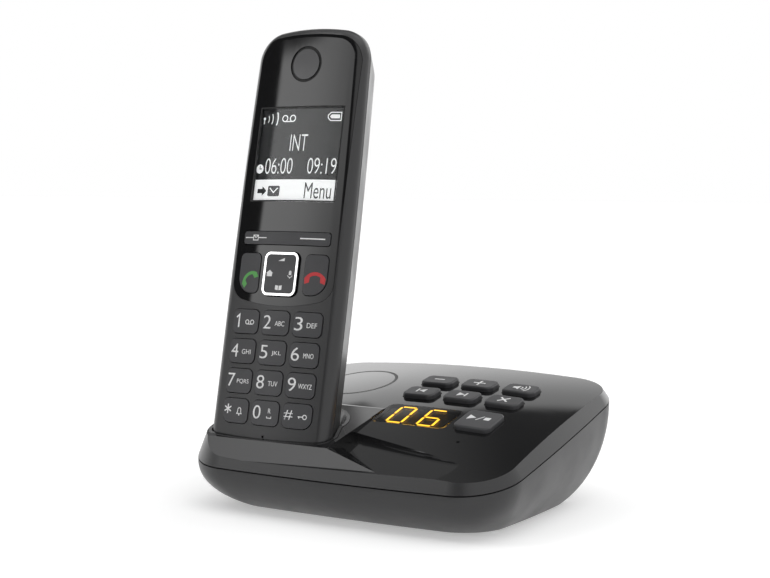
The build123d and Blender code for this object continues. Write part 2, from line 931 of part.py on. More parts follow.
cup_floor = handset_bottom - cup_floor_gap
with BuildPart() as cup_outside:
    add(cup_shaft(cup_gap + cup_wall, cup_floor - cup_wall))
    add(cup_flare(cup_wall))
with BuildPart() as cradle_cup:
    add(cup_outside.part)
    add(cup_shaft(cup_gap, cup_floor), mode=Mode.SUBTRACT)
    add(cup_flare(0), mode=Mode.SUBTRACT)
    add(deck_below_rim, mode=Mode.INTERSECT)
    with BuildSketch(handset_section(cup_floor - cup_wall - 1)):
        for side in (-1, 1):
            with Locations((side * contact_spacing / 2, contact_depth)):
                Circle(spring_radius + 0.4)
    extrude(amount=cup_wall + 2, mode=Mode.SUBTRACT)
cradle_cup.part.label = "cradle_cup"
export_step(cradle_cup.part, "parts/cradle_cup.step")

# Charge springs: pins from the main board up through the cup's floor
spring_foot = base_board_height + base_board_thickness + 0.3
spring_root = face.from_local_coords((0, handset_bottom, -contact_depth)).Z
spring_length = (spring_root - spring_foot) / cos(radians(handset_lean)) - spring_tip_gap
with BuildPart() as charge_springs:
    with BuildSketch(handset_section(handset_bottom - spring_tip_gap)):
        for side in (-1, 1):
            with Locations((side * contact_spacing / 2, contact_depth)):
                Circle(spring_radius)
    extrude(amount=-spring_length)
charge_springs.part.label = "charge_springs"
export_step(charge_springs.part, "parts/charge_springs.step")

# Top cover
head_low = foot_height + screw_recess - screw_head_height
cover_outer = cover_prism(0)
under_cover = crown(cover_wall)


def deck_outline_keys(grow=0.0):
    """Outlines of the seven deck keys by name."""
    names = (("minus", "plus", "speaker"), ("previous", "next", "delete"))
    keys = []
    for row, labels in enumerate(names):
        for column, label in enumerate(labels):
            centre = (deck_key_columns[column], deck_key_rows[row])
            shape = rounded(deck_key_width + 2 * grow, deck_key_length + 2 * grow,
                            deck_key_corner + grow, centre)
            keys.append((label, shape))
    shape = rounded(play_width + 2 * grow, play_length + 2 * grow, deck_key_corner + grow, play_centre)
    keys.append(("play", shape))
    return keys


def counter_outline(grow=0.0):
    return rounded(counter_width + 2 * grow, counter_length + 2 * grow,
                   counter_corner + grow, counter_centre)


# Cradle block: its outline across the deck is cut by the leaning sides of the cover
across = Plane(origin=deck.from_local_coords((-seam_half_x, 0, 0)), x_dir=deck.y_dir, z_dir=(1, 0, 0))
block_profile = (
    (facet_foot_y, 1.0),
    (facet_foot_y, facet_foot),
    (facet_top_y, block_height),
    (block_back_y, block_height),
    (block_end_y, facet_foot + 1),
    (block_end_y, 1.0),
)
with BuildPart() as cradle_block:
    with BuildSketch(across):
        with BuildLine():
            Polyline(*block_profile, close=True)
        make_face()
    extrude(amount=seam_half_x + block_right)
    add(cover_outer, mode=Mode.INTERSECT)

# Ridge that carries the facet out to a point on the right
with BuildPart() as ridge:
    for x, share in ((block_right - 0.1, 1.0), (ridge_end_x, 0.04)):
        rise = (block_height - facet_foot) * share
        reach = (facet_top_y - facet_foot_y) * share
        with BuildSketch(across.offset(seam_half_x + x)):
            with BuildLine():
                Polyline(
                    (facet_foot_y, 2.0),
                    (facet_foot_y, facet_foot),
                    (facet_foot_y + reach, facet_foot + rise),
                    (facet_foot_y + 2.6 * reach + 0.5, facet_foot + 0.2 * rise),
                    (facet_foot_y + 2.6 * reach + 0.5, 2.0),
                    close=True,
                )
            make_face()
    loft(ruled=True)
    add(cover_outer, mode=Mode.INTERSECT)

# Scoop: a step along a gentle arc, with a floor that falls to the front band
scoop_span = (scoop_far[0] - scoop_near[0], scoop_far[1] - scoop_near[1])
scoop_chord = (scoop_span[0] ** 2 + scoop_span[1] ** 2) ** 0.5
scoop_radius = scoop_chord**2 / (8 * scoop_bow) + scoop_bow / 2
scoop_back = (scoop_radius - scoop_bow) / scoop_chord
scoop_middle = (
    (scoop_near[0] + scoop_far[0]) / 2 - scoop_span[1] * scoop_back,
    (scoop_near[1] + scoop_far[1]) / 2 + scoop_span[0] * scoop_back,
)
scoop_axis = Axis(deck.from_local_coords((scoop_middle[0], scoop_middle[1], 0)), deck.z_dir)
scoop_out = (
    deck.from_local_coords((scoop_near[0], scoop_near[1], 0)) - scoop_axis.position
).normalized()
scoop_plane = Plane(origin=scoop_axis.position, x_dir=scoop_out, z_dir=scoop_out.cross(deck.z_dir))
with BuildPart() as scoop:
    with BuildSketch(scoop_plane):
        edge = crown_at(scoop_near[0], scoop_near[1])
        wall = scoop_radius + scoop_run
        with BuildLine():
            ThreePointArc(
                (scoop_radius - 0.5, edge + 0.4),
                (scoop_radius + 0.35 * scoop_run, edge - 0.7 * scoop_depth),
                (wall, edge - scoop_depth),
            )
            Polyline(
                (wall, edge - scoop_depth),
                (wall + 40, edge - scoop_depth - 40 * scoop_rise),
                (wall + 40, edge + 6),
                (scoop_radius - 0.5, edge + 6),
                (scoop_radius - 0.5, edge + 0.4),
            )
        make_face()
    turn = degrees((scoop_chord + scoop_lead) / scoop_radius)
    revolve(axis=scoop_axis, revolution_arc=turn)
scoop_turned = scoop.part.rotate(scoop_axis, -degrees(scoop_lead / scoop_radius))


def front_room(level):
    """Everything over a level in the front part of the deck."""
    return block(deck, rounded(big, 60, 1, (0, -front_web_reach - 30)), level, 30)


def cover_hollow():
    """Room under the cover, with a thicker front below the cradle block and the scoop."""
    with BuildPart() as body:
        add(cover_prism(cover_wall))
        add(under_cover, mode=Mode.INTERSECT)
        add(front_room(front_web), mode=Mode.SUBTRACT)
    return body.part


def screw_bosses():
    """Bosses that stand on the posts of the lower shell."""
    with BuildPart() as body:
        with BuildSketch(Plane.XY.offset(post_split)):
            with Locations(*screw_posts):
                Circle(boss_radius)
        extrude(amount=50)
        add(crown(cover_wall / 2), mode=Mode.INTERSECT)
        add(cover_outer, mode=Mode.INTERSECT)
        add(front_room(front_web + 0.5), mode=Mode.SUBTRACT)
    return body.part


def window_step():
    with BuildPart() as body:
        add(block(deck, counter_outline(fit_gap), 0, 20))
        add(crown(counter_skin), mode=Mode.SUBTRACT)
    return body.part


with BuildPart() as top_cover:
    add(cover_outer)
    add(crown(0), mode=Mode.INTERSECT)
    add(scoop_turned, mode=Mode.SUBTRACT)
    add(cradle_block.part)
    add(ridge.part)
    add(cover_hollow(), mode=Mode.SUBTRACT)
    add(screw_bosses())
    with BuildSketch(Plane.XY.offset(post_split - 1)):
        with Locations(*screw_posts):
            Circle(screw_radius)
    extrude(amount=2 + head_low + screw_head_height + screw_length - post_split, mode=Mode.SUBTRACT)
    add(
        [
            cup_shaft(cup_gap + cup_wall + cup_fit, cup_floor - cup_wall - 4),
            cup_flare(cup_wall + cup_fit),
            window_step(),
            block(deck, counter_outline(-counter_ledge), 0, 20),
            block(deck, disc(paging_radius + paging_gap, paging_centre), 0, 20),
            block(deck, disc(mic_hole_radius, mic_hole), 0, 20),
            block(deck, disc(mic_radius + 0.1, mic_hole), -1, crown_at(*mic_hole) - mic_roof),
            *[block(deck, shape, 0, 20) for label, shape in deck_outline_keys(deck_key_gap)],
        ],
        mode=Mode.SUBTRACT,
    )
top_cover.part.label = "base_top_cover"
export_step(top_cover.part, "parts/base_top_cover.step")

# Smoked window over the message counter
with BuildPart() as display_window:
    with BuildSketch(deck):
        add(counter_outline())
    extrude(amount=20)
    add(crown(0), mode=Mode.INTERSECT)
    add(crown(counter_skin), mode=Mode.SUBTRACT)
display_window.part.label = "display_window"
export_step(display_window.part, "parts/display_window.step")

# Deck keys: caps that follow the crown, each with a flange under the cover
key_crown = crown(-deck_key_proud)
for label, shape in deck_outline_keys():
    with BuildPart() as deck_key:
        with BuildSketch(deck.offset(deck_flange_top - deck_flange)):
            add(shape)
        extrude(amount=20)
        add(key_crown, mode=Mode.INTERSECT)
        fillet(deck_key.faces().sort_by(Axis(deck.origin, deck.z_dir))[-1].edges(), radius=deck_key_soft)
        with BuildSketch(deck.offset(deck_flange_top - deck_flange)):
            add(shape)
            offset(amount=deck_flange_wide)
        extrude(amount=deck_flange)
    deck_key.part.label = "key_" + label
    export_step(deck_key.part, "parts/key_" + label + ".step")

# Paging button: a disc that follows the crown, with a flange
with BuildPart() as paging_button:
    with BuildSketch(deck.offset(paging_flange_top - paging_flange_thickness)):
        add(disc(paging_radius, paging_centre))
    extrude(amount=20)
    add(crown(0), mode=Mode.INTERSECT)
    with BuildSketch(deck.offset(paging_flange_top - paging_flange_thickness)):
        add(disc(paging_radius + paging_flange, paging_centre))
    extrude(amount=paging_flange_thickness)
paging_button.part.label = "paging_button"
export_step(paging_button.part, "parts/paging_button.step")

# Rubber mat under the deck keys, with a dome under each
mat_left = deck_key_columns[0] - deck_key_width / 2 - mat_margin
mat_right = deck_key_columns[2] + deck_key_width / 2 + mat_margin
mat_top = deck_flange_top - deck_flange - deck_key_travel - key_mat_gap
mat_back = deck_key_rows[0] + deck_key_length / 2 + mat_margin
mat_front = deck_key_rows[1] - deck_key_length / 2 - mat_margin
play_left = play_centre[0] - play_width / 2 - mat_margin / 2
play_front = play_centre[1] - play_length / 2 - mat_margin
with BuildPart() as base_keymat:
    with BuildSketch(deck.offset(mat_top - mat_thickness)):
        with Locations(((mat_left + mat_right) / 2, (mat_front + mat_back) / 2)):
            Rectangle(mat_right - mat_left, mat_back - mat_front)
        with Locations(((play_left + mat_right) / 2, (play_front + mat_front) / 2)):
            Rectangle(mat_right - play_left, mat_front - play_front + 0.01)
    extrude(amount=mat_thickness)
base_keymat.part.label = "base_keymat"
export_step(base_keymat.part, "parts/base_keymat.step")

# Key board: an L that also reaches under the paging button
board_left = paging_centre[0] - paging_radius / 2
board_notch = block_back_y + cup_wall + 6.0
with BuildPart() as key_board:
    with BuildSketch(deck.offset(key_board_top - key_board_thickness)):
        with BuildLine():
            Polyline(
                (mat_left, play_front),
                (mat_right, play_front),
                (mat_right, mat_back),
                (board_left, mat_back),
                (board_left, board_notch),
                (mat_left, board_notch),
                close=True,
            )
        make_face()
    extrude(amount=key_board_thickness)
key_board.part.label = "key_board"
export_step(key_board.part, "parts/key_board.step")

# Two-digit counter on the key board, just under its window
with BuildPart() as led_display:
    with BuildSketch(deck.offset(key_board_top)):
        with Locations(counter_centre):
            Rectangle(counter_width - 2 * counter_ledge - 3.4, counter_length - 2 * counter_ledge - 0.6)
    extrude(amount=crown_at(counter_width, counter_length) - counter_skin - key_board_top - fit_gap)
led_display.part.label = "led_display"
export_step(led_display.part, "parts/led_display.step")

# Microphone in its pocket under the cover
with BuildPart() as base_microphone:
    with BuildSketch(deck.offset(crown_at(*mic_hole) - mic_roof - mic_height)):
        add(disc(mic_radius, mic_hole))
    extrude(amount=mic_height)
base_microphone.part.label = "base_microphone"
export_step(base_microphone.part, "parts/base_microphone.step")

# Lower shell
floor_top = foot_height + cover_wall
rear_reach = seam_half_y + 10


def socket_recess(grow):
    """Room of the rear recess, open to the back."""
    with BuildPart() as body:
        with BuildSketch(Plane.XY.offset(recess_low - grow)):
            with Locations((0, (recess_front - grow + rear_reach) / 2)):
                Rectangle(2 * (recess_half + grow), rear_reach - recess_front + grow)
        extrude(amount=recess_high - recess_low + 2 * grow)
    return body.part


def sockets():
    """Name, middle and opening of each socket."""
    return (("line_socket", -socket_offset, line_opening), ("power_socket", socket_offset, power_opening))


def recess_housing():
    with BuildPart() as body:
        add(socket_recess(recess_wall))
        add(bowl_outside, mode=Mode.INTERSECT)
    return body.part


def shell_posts():
    with BuildPart() as body:
        with BuildSketch(Plane.XY.offset(foot_height)):
            with Locations(*screw_posts):
                Circle(post_radius)
        extrude(amount=post_split - foot_height)
        add(bowl_outside, mode=Mode.INTERSECT)
    return body.part


board_top = base_board_height + base_board_thickness
bowl_outside = bowl(0, 0)
with BuildPart() as lower_shell:
    add(bowl_outside)
    add(bowl(shell_wall, cover_wall), mode=Mode.SUBTRACT)
    # shadow groove under the seam
    with BuildSketch(deck.offset(-seam_groove)):
        add(casing_outline(seam_half_x + 1, seam_half_y + 1, seam_corner))
        inner = casing_outline(seam_half_x - seam_groove_depth, seam_half_y - seam_groove_depth,
                               seam_corner - seam_groove_depth)
        add(inner, mode=Mode.SUBTRACT)
    extrude(amount=seam_groove + 1, mode=Mode.SUBTRACT)
    add(recess_housing())
    add(socket_recess(0), mode=Mode.SUBTRACT)
    for name, x, opening in sockets():
        with BuildSketch(Plane.XZ.offset(-recess_front - 1)):
            with Locations((x, board_top + socket_height / 2)):
                Rectangle(opening[0] + 2 * socket_rim + 0.3, socket_height + 0.3)
        extrude(amount=recess_wall + 2, mode=Mode.SUBTRACT)
    # standoffs for the board, posts for the screws
    with BuildSketch(Plane.XY.offset(floor_top - 0.5)):
        with Locations(*standoffs):
            Circle(standoff_radius)
    extrude(amount=base_board_height - floor_top + 0.5)
    add(shell_posts())
    with BuildSketch(Plane.XY):
        with Locations(*screw_posts):
            Circle(screw_head_radius + 0.3)
    extrude(amount=foot_height + screw_recess, mode=Mode.SUBTRACT)
    with BuildSketch(Plane.XY):
        with Locations(*screw_posts):
            Circle(screw_radius + screw_play)
    extrude(amount=post_split + 1, mode=Mode.SUBTRACT)
    # grille under the loudspeaker
    with BuildSketch(Plane.XY):
        with Locations(speaker_centre):
            Circle(grille_radius)
            for ring in range(1, grille_rings):
                with PolarLocations(ring * grille_pitch, 6 * ring):
                    Circle(grille_radius)
    extrude(amount=floor_top + 1, mode=Mode.SUBTRACT)
    # shallow seats for the rubber feet
    with BuildSketch(Plane.XY.offset(foot_height)):
        with Locations(*foot_pads):
            Circle(foot_pad_radius + 0.1)
    extrude(amount=foot_pad_inset, mode=Mode.SUBTRACT)
lower_shell.part.label = "base_lower_shell"
export_step(lower_shell.part, "parts/base_lower_shell.step")

# Rubber feet
with BuildPart() as rubber_feet:
    with BuildSketch(Plane.XY):
        with Locations(*foot_pads):
            Circle(foot_pad_radius)
    extrude(amount=foot_height + foot_pad_inset)
rubber_feet.part.label = "rubber_feet"
export_step(rubber_feet.part, "parts/rubber_feet.step")

# Screws of the base
with BuildPart() as base_screws:
    with BuildSketch(Plane.XY.offset(head_low)):
        with Locations(*screw_posts):
            Circle(screw_head_radius)
    extrude(amount=screw_head_height)
    with BuildSketch(Plane.XY.offset(head_low)):
        with Locations(*screw_posts):
            Circle(screw_radius)
    extrude(amount=screw_head_height + screw_length)
base_screws.part.label = "base_screws"
export_step(base_screws.part, "parts/base_screws.step")

# Main board: cut away round the posts, the speaker and the foot of the cup
with BuildPart() as base_board:
    with BuildSketch(Plane.XY.offset(base_board_height)):
        Rectangle(2 * board_x, 2 * board_y)
        with Locations(*screw_posts):
            Circle(post_radius + 0.6, mode=Mode.SUBTRACT)
        with Locations(speaker_centre):
            Circle(speaker_radius + 1, mode=Mode.SUBTRACT)
    extrude(amount=base_board_thickness)
base_board.part.label = "base_board"
export_step(base_board.part, "parts/base_board.step")

# Shield can of the radio
with BuildPart() as radio_shield:
    with BuildSketch(Plane.XY.offset(board_top)):
        with Locations(shield_centre):
            RectangleRounded(shield_size[0], shield_size[1], 1)
    extrude(amount=shield_size[2])
    with BuildSketch(Plane.XY.offset(board_top)):
        with Locations(shield_centre):
            RectangleRounded(shield_size[0] - 0.8, shield_size[1] - 0.8, 0.6)
    extrude(amount=shield_size[2] - 0.4, mode=Mode.SUBTRACT)
radio_shield.part.label = "radio_shield"
export_step(radio_shield.part, "parts/radio_shield.step")

# Loudspeaker, facing down over the grille: magnet on a frame
with BuildPart() as base_speaker:
    with BuildSketch(Plane.XY.offset(floor_top)):
        with Locations(speaker_centre):
            Circle(speaker_radius)
    extrude(amount=speaker_height / 3)
    with BuildSketch(Plane.XY.offset(floor_top)):
        with Locations(speaker_centre):
            Circle(speaker_radius * 0.62)
    extrude(amount=speaker_height)
base_speaker.part.label = "base_speaker"
export_step(base_speaker.part, "parts/base_speaker.step")

# Modular sockets on the board's rear edge
for name, x, opening in sockets():
    with BuildPart() as socket:
        with BuildSketch(Plane.XZ.offset(-recess_front)):
            with Locations((x, board_top + socket_height / 2)):
                Rectangle(opening[0] + 2 * socket_rim, socket_height)
        extrude(amount=socket_depth)
        with BuildSketch(Plane.XZ.offset(-recess_front)):
            with Locations((x, board_top + socket_height / 2)):
                Rectangle(*opening)
        extrude(amount=opening_depth, mode=Mode.SUBTRACT)
    socket.part.label = name
    export_step(socket.part, "parts/" + name + ".step")
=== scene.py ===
import bpy
import bmesh
from math import sin, cos, pi, radians, sqrt, hypot
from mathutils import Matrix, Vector


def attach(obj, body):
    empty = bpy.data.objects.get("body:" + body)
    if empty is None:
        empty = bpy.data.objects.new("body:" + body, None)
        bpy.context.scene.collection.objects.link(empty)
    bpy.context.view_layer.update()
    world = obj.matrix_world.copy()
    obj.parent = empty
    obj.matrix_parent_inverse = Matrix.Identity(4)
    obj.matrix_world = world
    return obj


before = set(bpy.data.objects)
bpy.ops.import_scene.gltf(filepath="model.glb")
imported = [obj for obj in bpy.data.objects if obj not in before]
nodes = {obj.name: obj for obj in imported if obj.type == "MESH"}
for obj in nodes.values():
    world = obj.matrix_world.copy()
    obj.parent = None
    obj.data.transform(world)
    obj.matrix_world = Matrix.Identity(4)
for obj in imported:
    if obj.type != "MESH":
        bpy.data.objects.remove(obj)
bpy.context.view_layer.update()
bpy.context.scene.view_settings.view_transform = "Standard"
print("frame loaded:", len(nodes), "pieces")

mm = 0.001  # sizes and places below are in mm, the frame is in metres

# where the handset's bowed face and the base's crowned deck lie
face = {"x": -32.4, "y": -43.6, "z": 26.1, "lean": radians(11.97), "bow": 162.87}
deck = {"z": 27.9, "slope": radians(12.95), "crown": 8.0, "bowX": 701.75, "bowY": 520.0}


def facePoint(u, v, lift):
    # u to the right, v up the handset, lift out of its bowed front
    depth = face["bow"] - sqrt((face["bow"] + lift) ** 2 - u * u)
    s, c = sin(face["lean"]), cos(face["lean"])
    return Vector((face["x"] + u, face["y"] + v * s + depth * c, face["z"] + v * c - depth * s)) * mm


def crownAt(x, y):
    rise = deck["crown"] - deck["bowX"] + sqrt(deck["bowX"] ** 2 - x * x)
    low = deck["bowY"] - deck["crown"]
    return sqrt((rise + low) ** 2 - y * y) - low


def deckPoint(x, y, lift):
    # x to the right, y up the slope, lift over the crown
    n = crownAt(x, y) + lift
    s, c = sin(deck["slope"]), cos(deck["slope"])
    return Vector((x, y * c - n * s, deck["z"] + y * s + n * c)) * mm


# helpers for the shader nodes

def feed(tree, value, socket):
    # another node's socket is linked, a plain value is set
    if isinstance(value, bpy.types.NodeSocket):
        tree.links.new(value, socket)
    else:
        socket.default_value = value


def mathNode(tree, kind, *values):
    node = tree.nodes.new("ShaderNodeMath")
    node.operation = kind
    for value, socket in zip(values, node.inputs):
        feed(tree, value, socket)
    return node.outputs[0]


def mixNode(tree, kind, mask, first, second):
    # kind: Float or Color
    node = tree.nodes.new("ShaderNodeMix")
    node.data_type = {"Float": "FLOAT", "Color": "RGBA"}[kind]
    sockets = {socket.identifier: socket for socket in (*node.inputs, *node.outputs)}
    for label, value in (("Factor_Float", mask), ("A_" + kind, first), ("B_" + kind, second)):
        feed(tree, value, sockets[label])
    return sockets["Result_" + kind]


def ramp(tree, value, low, high, outLow, outHigh):
    # a soft step between two values
    node = tree.nodes.new("ShaderNodeMapRange")
    node.interpolation_type = "SMOOTHSTEP"
    labels = ("Value", "From Min", "From Max", "To Min", "To Max")
    for label, number in zip(labels, (value, low, high, outLow, outHigh)):
        feed(tree, number, node.inputs[label])
    return node.outputs["Result"]


def noise(tree, scale, detail):
    place = tree.nodes.new("ShaderNodeTexCoord")
    node = tree.nodes.new("ShaderNodeTexNoise")
    for label, value in (("Vector", place.outputs["Object"]), ("Scale", scale), ("Detail", detail)):
        feed(tree, value, node.inputs[label])
    return node.outputs["Fac"]


def axes(tree, kind, output):
    # X, Y and Z of a place or a direction
    source = tree.nodes.new(kind)
    node = tree.nodes.new("ShaderNodeSeparateXYZ")
    feed(tree, source.outputs[output], node.inputs[0])
    return node.outputs


def newGroup(name, inputs, outputs):
    group = bpy.data.node_groups.new(name, "ShaderNodeTree")
    for label, value in inputs:
        socket = group.interface.new_socket(label, in_out="INPUT", socket_type="NodeSocketFloat")
        socket.default_value = value
    for label in outputs:
        group.interface.new_socket(label, in_out="OUTPUT", socket_type="NodeSocketFloat")
    return group, group.nodes.new("NodeGroupInput").outputs, group.nodes.new("NodeGroupOutput").inputs


# fine spark-eroded grain of a moulding: height for a bump, and a little change of tone
grainLook = {"fineDetail": 3.0, "toneScale": 90.0, "toneDetail": 2.0}
mouldedGrain, given, made = newGroup("mouldedGrain", [("Scale", 2500.0), ("Tone", 0.05)], ["Height", "Tone"])
feed(mouldedGrain, noise(mouldedGrain, given["Scale"], grainLook["fineDetail"]), made["Height"])
clouds = noise(mouldedGrain, grainLook["toneScale"], grainLook["toneDetail"])
aroundZero = mathNode(mouldedGrain, "SUBTRACT", clouds, 0.5)
feed(mouldedGrain, mathNode(mouldedGrain, "MULTIPLY_ADD", aroundZero, given["Tone"], 1.0), made["Tone"])

# faint uneven polish, as handling leaves it
handledLook = {"scale": 60.0, "detail": 4.0, "low": 0.3, "high": 0.7}
handledPolish, given, made = newGroup("handledPolish", [("Low", 0.1), ("High", 0.2)], ["Roughness"])
clouds = noise(handledPolish, handledLook["scale"], handledLook["detail"])
patches = ramp(handledPolish, clouds, handledLook["low"], handledLook["high"], 0.0, 1.0)
span = mathNode(handledPolish, "SUBTRACT", given["High"], given["Low"])
feed(handledPolish, mathNode(handledPolish, "MULTIPLY_ADD", patches, span, given["Low"]), made["Roughness"])


def placeGroup(tree, group, values):
    node = tree.nodes.new("ShaderNodeGroup")
    node.node_tree = group
    for label, value in values.items():
        node.inputs[label].default_value = value
    return node.outputs


def newMaterial(name):
    mat = bpy.data.materials.new(name)
    mat.use_nodes = True
    return mat, mat.node_tree, mat.node_tree.nodes["Principled BSDF"].inputs


def moulded(name, color, rough, grain=(2500, 0), tone=0.1, metal=0.0, glow=0.0):
    # rough: low and high, grain: scale and depth in mm, tone: how much the colour varies
    mat, tree, shader = newMaterial(name)
    polish = placeGroup(tree, handledPolish, {"Low": rough[0], "High": rough[1]})
    feed(tree, polish["Roughness"], shader["Roughness"])
    scale, depth = grain
    surface = placeGroup(tree, mouldedGrain, {"Scale": scale, "Tone": tone})
    tint = tree.nodes.new("ShaderNodeVectorMath")
    tint.operation = "SCALE"
    feed(tree, color, tint.inputs[0])
    feed(tree, surface["Tone"], tint.inputs["Scale"])
    feed(tree, tint.outputs[0], shader["Base Color"])
    if depth:
        bump = tree.nodes.new("ShaderNodeBump")
        bump.inputs["Distance"].default_value = depth * mm
        bump.inputs["Strength"].default_value = 1.0
        feed(tree, surface["Height"], bump.inputs["Height"])
        feed(tree, bump.outputs["Normal"], shader["Normal"])
    shader["Metallic"].default_value = metal
    shader["IOR"].default_value = 1.5  # of common casing plastics
    if glow:
        shader["Emission Color"].default_value = color + (1.0,)
        shader["Emission Strength"].default_value = glow
    return mat


def clearGlass(name, color, rough, ior):
    mat, tree, shader = newMaterial(name)
    shader["Base Color"].default_value = color + (1.0,)
    shader["Transmission Weight"].default_value = 1.0
    shader["Roughness"].default_value = rough
    shader["IOR"].default_value = ior
    return mat


def satinRimAndSheen(mat, rim):
    # the cover's steep outer rim is left semi-matt, its crowned top is polished; the rim's base colour is also
    # made lighter, a painted sheen
    tree = mat.node_tree
    shader = tree.nodes["Principled BSDF"].inputs
    upright = axes(tree, "ShaderNodeNewGeometry", "Normal")["Z"]
    steep = ramp(tree, upright, rim["steep"], rim["flat"], 1, 0)
    place = axes(tree, "ShaderNodeTexCoord", "Object")
    edges = []
    for axis, (inner, outer) in rim["reach"].items():
        away = mathNode(tree, "ABSOLUTE", place[axis])
        edges.append(ramp(tree, away, inner * mm, outer * mm, 0, 1))
    # mask of the steep outer rim, picked by surface direction and by reach: it gets the rougher finish and the
    # lighter colour of painted sheen
    mask = mathNode(tree, "MULTIPLY", steep, mathNode(tree, "MAXIMUM", *edges))
    rimFinishAndSheen = (("Roughness", "Float", rim["rough"]), ("Base Color", "Color", rim["color"] + (1.0,)))
    for label, kind, value in rimFinishAndSheen:
        polished = shader[label].links[0].from_socket
        feed(tree, mixNode(tree, kind, mask, polished, value), shader[label])


looks = {
    "casingMatte": dict(color=(0.021, 0.021, 0.022), rough=(0.34, 0.42), grain=(2600, 0.012), tone=0.2),
    "coverGloss": dict(color=(0.006, 0.006, 0.0065), rough=(0.05, 0.08)),
    "cupPolished": dict(color=(0.008, 0.008, 0.0085), rough=(0.16, 0.22), grain=(2200, 0.004)),
    "handsetSatin": dict(color=(0.024, 0.024, 0.025), rough=(0.3, 0.36), grain=(2600, 0.008), tone=0.15),
    "backSatin": dict(color=(0.028, 0.028, 0.029), rough=(0.3, 0.38), grain=(2600, 0.01), tone=0.15),
    "panelGloss": dict(color=(0.005, 0.005, 0.0055), rough=(0.04, 0.07)),
    "earGloss": dict(color=(0.03, 0.03, 0.032), rough=(0.12, 0.18)),
    "keySatin": dict(color=(0.036, 0.036, 0.039), rough=(0.32, 0.4), grain=(2600, 0.006), tone=0.15),
    "keyRubber": dict(color=(0.042, 0.042, 0.045), rough=(0.45, 0.55), grain=(2000, 0.01), tone=0.2),
    "brightRing": dict(color=(0.9, 0.9, 0.9), rough=(0.08, 0.14), metal=1.0),
    "rubberBlack": dict(color=(0.02, 0.02, 0.02), rough=(0.6, 0.75), grain=(1500, 0.02)),
    "steelPlain": dict(color=(0.55, 0.55, 0.56), rough=(0.25, 0.35), grain=(1800, 0.004), metal=1.0),
    "goldPad": dict(color=(0.9, 0.66, 0.3), rough=(0.2, 0.3), metal=1.0),
    "boardGreen": dict(color=(0.015, 0.12, 0.045), rough=(0.3, 0.4), tone=0.3),
    "cellSleeve": dict(color=(0.1, 0.2, 0.12), rough=(0.25, 0.35)),
    "moduleBlack": dict(color=(0.015, 0.015, 0.015), rough=(0.3, 0.4)),
    "speakerGrey": dict(color=(0.12, 0.12, 0.12), rough=(0.4, 0.5), grain=(1500, 0.02)),
    # black for the display's printed border, and also for the painted shade in the recessed rings round the
    # earpiece and the paging key
    "inkAndGrooveShade": dict(color=(0.002, 0.002, 0.002), rough=(0.4, 0.5), tone=0.02),
    "legendWhite": dict(color=(0.78, 0.78, 0.78), rough=(0.4, 0.5), tone=0.02),
    "legendGreen": dict(color=(0.08, 0.33, 0.07), rough=(0.4, 0.5), tone=0.02),
    "legendRed": dict(color=(0.5, 0.03, 0.035), rough=(0.4, 0.5), tone=0.02),
    "lcdDark": dict(color=(0.014, 0.014, 0.015), rough=(0.5, 0.6), tone=0.04),
    "lcdWhite": dict(color=(0.8, 0.8, 0.8), rough=(0.4, 0.5), tone=0.0, glow=0.55),
    "ledAmber": dict(color=(1.0, 0.52, 0.03), rough=(0.4, 0.5), tone=0.0, glow=3.6),
}
mats = {name: moulded(name, **look) for name, look in looks.items()}
mats["lcdGlass"] = clearGlass("lcdGlass", (0.93, 0.94, 0.94), 0.02, 1.26)
mats["smokedGlass"] = clearGlass("smokedGlass", (0.3, 0.29, 0.28), 0.03, 1.15)
coverRimAndSheen = {
    "steep": 0.86, "flat": 0.93,  # upright part of the surface's direction
    "reach": {"X": (55, 58), "Y": (42.5, 44.5)},  # the rim lies beyond these
    # the rim's roughness is its real finish; its lighter colour is painted sheen
    "rough": 0.3, "color": (0.026, 0.026, 0.027),
}
satinRimAndSheen(mats["coverGloss"], coverRimAndSheen)
print("materials made:", len(mats))

numberNames = ("star", "0", "hash", "1", "2", "3", "4", "5", "6", "7", "8", "9")
deckNames = ("minus", "plus", "speaker", "previous", "next", "delete", "play")
finishes = {
    "casingMatte": ["base_lower_shell"],
    "coverGloss": ["base_top_cover", "paging_button"],
    "cupPolished": ["cradle_cup"],
    "handsetSatin": ["handset_front_frame"],
    "backSatin": ["handset_back_shell", "battery_cover"],
    "panelGloss": ["handset_gloss_panel"],
    "earGloss": ["earpiece_cap"],
    "keySatin": ["talk_key", "end_key", "softkey_bar", "nav_pad", "nav_gimbal"]
    + ["key_" + name for name in numberNames],
    "keyRubber": ["key_" + name for name in deckNames],
    "brightRing": ["nav_ring"],
    "rubberBlack": ["rubber_feet", "base_keymat", "handset_keymat"],
    "steelPlain": ["base_screws", "charge_springs", "battery_contacts", "radio_shield"],
    "goldPad": ["handset_contacts"],
    "boardGreen": ["base_board", "key_board", "handset_board"],
    "cellSleeve": ["battery_cells"],
    "moduleBlack": ["led_display", "handset_display", "line_socket", "power_socket"],
    "speakerGrey": ["base_speaker", "earpiece_speaker", "ringer_speaker"]
    + ["base_microphone", "handset_microphone"],
    "lcdGlass": ["handset_window"],
    "smokedGlass": ["display_window"],
}
for finish, names in finishes.items():
    for name in names:
        mesh = nodes[name].data
        mesh.materials.clear()
        mesh.materials.append(mats[finish])
print("finishes given")


# printed signs: flat shapes, laid on a surface

def outline(points):
    # one flat face
    bm = bmesh.new()
    bm.faces.new([bm.verts.new((x, y, 0)) for x, y in points])
    return bm


def heading(a, b):
    # unit direction from a to b
    dx, dy = b[0] - a[0], b[1] - a[1]
    length = hypot(dx, dy)
    return dx / length, dy / length


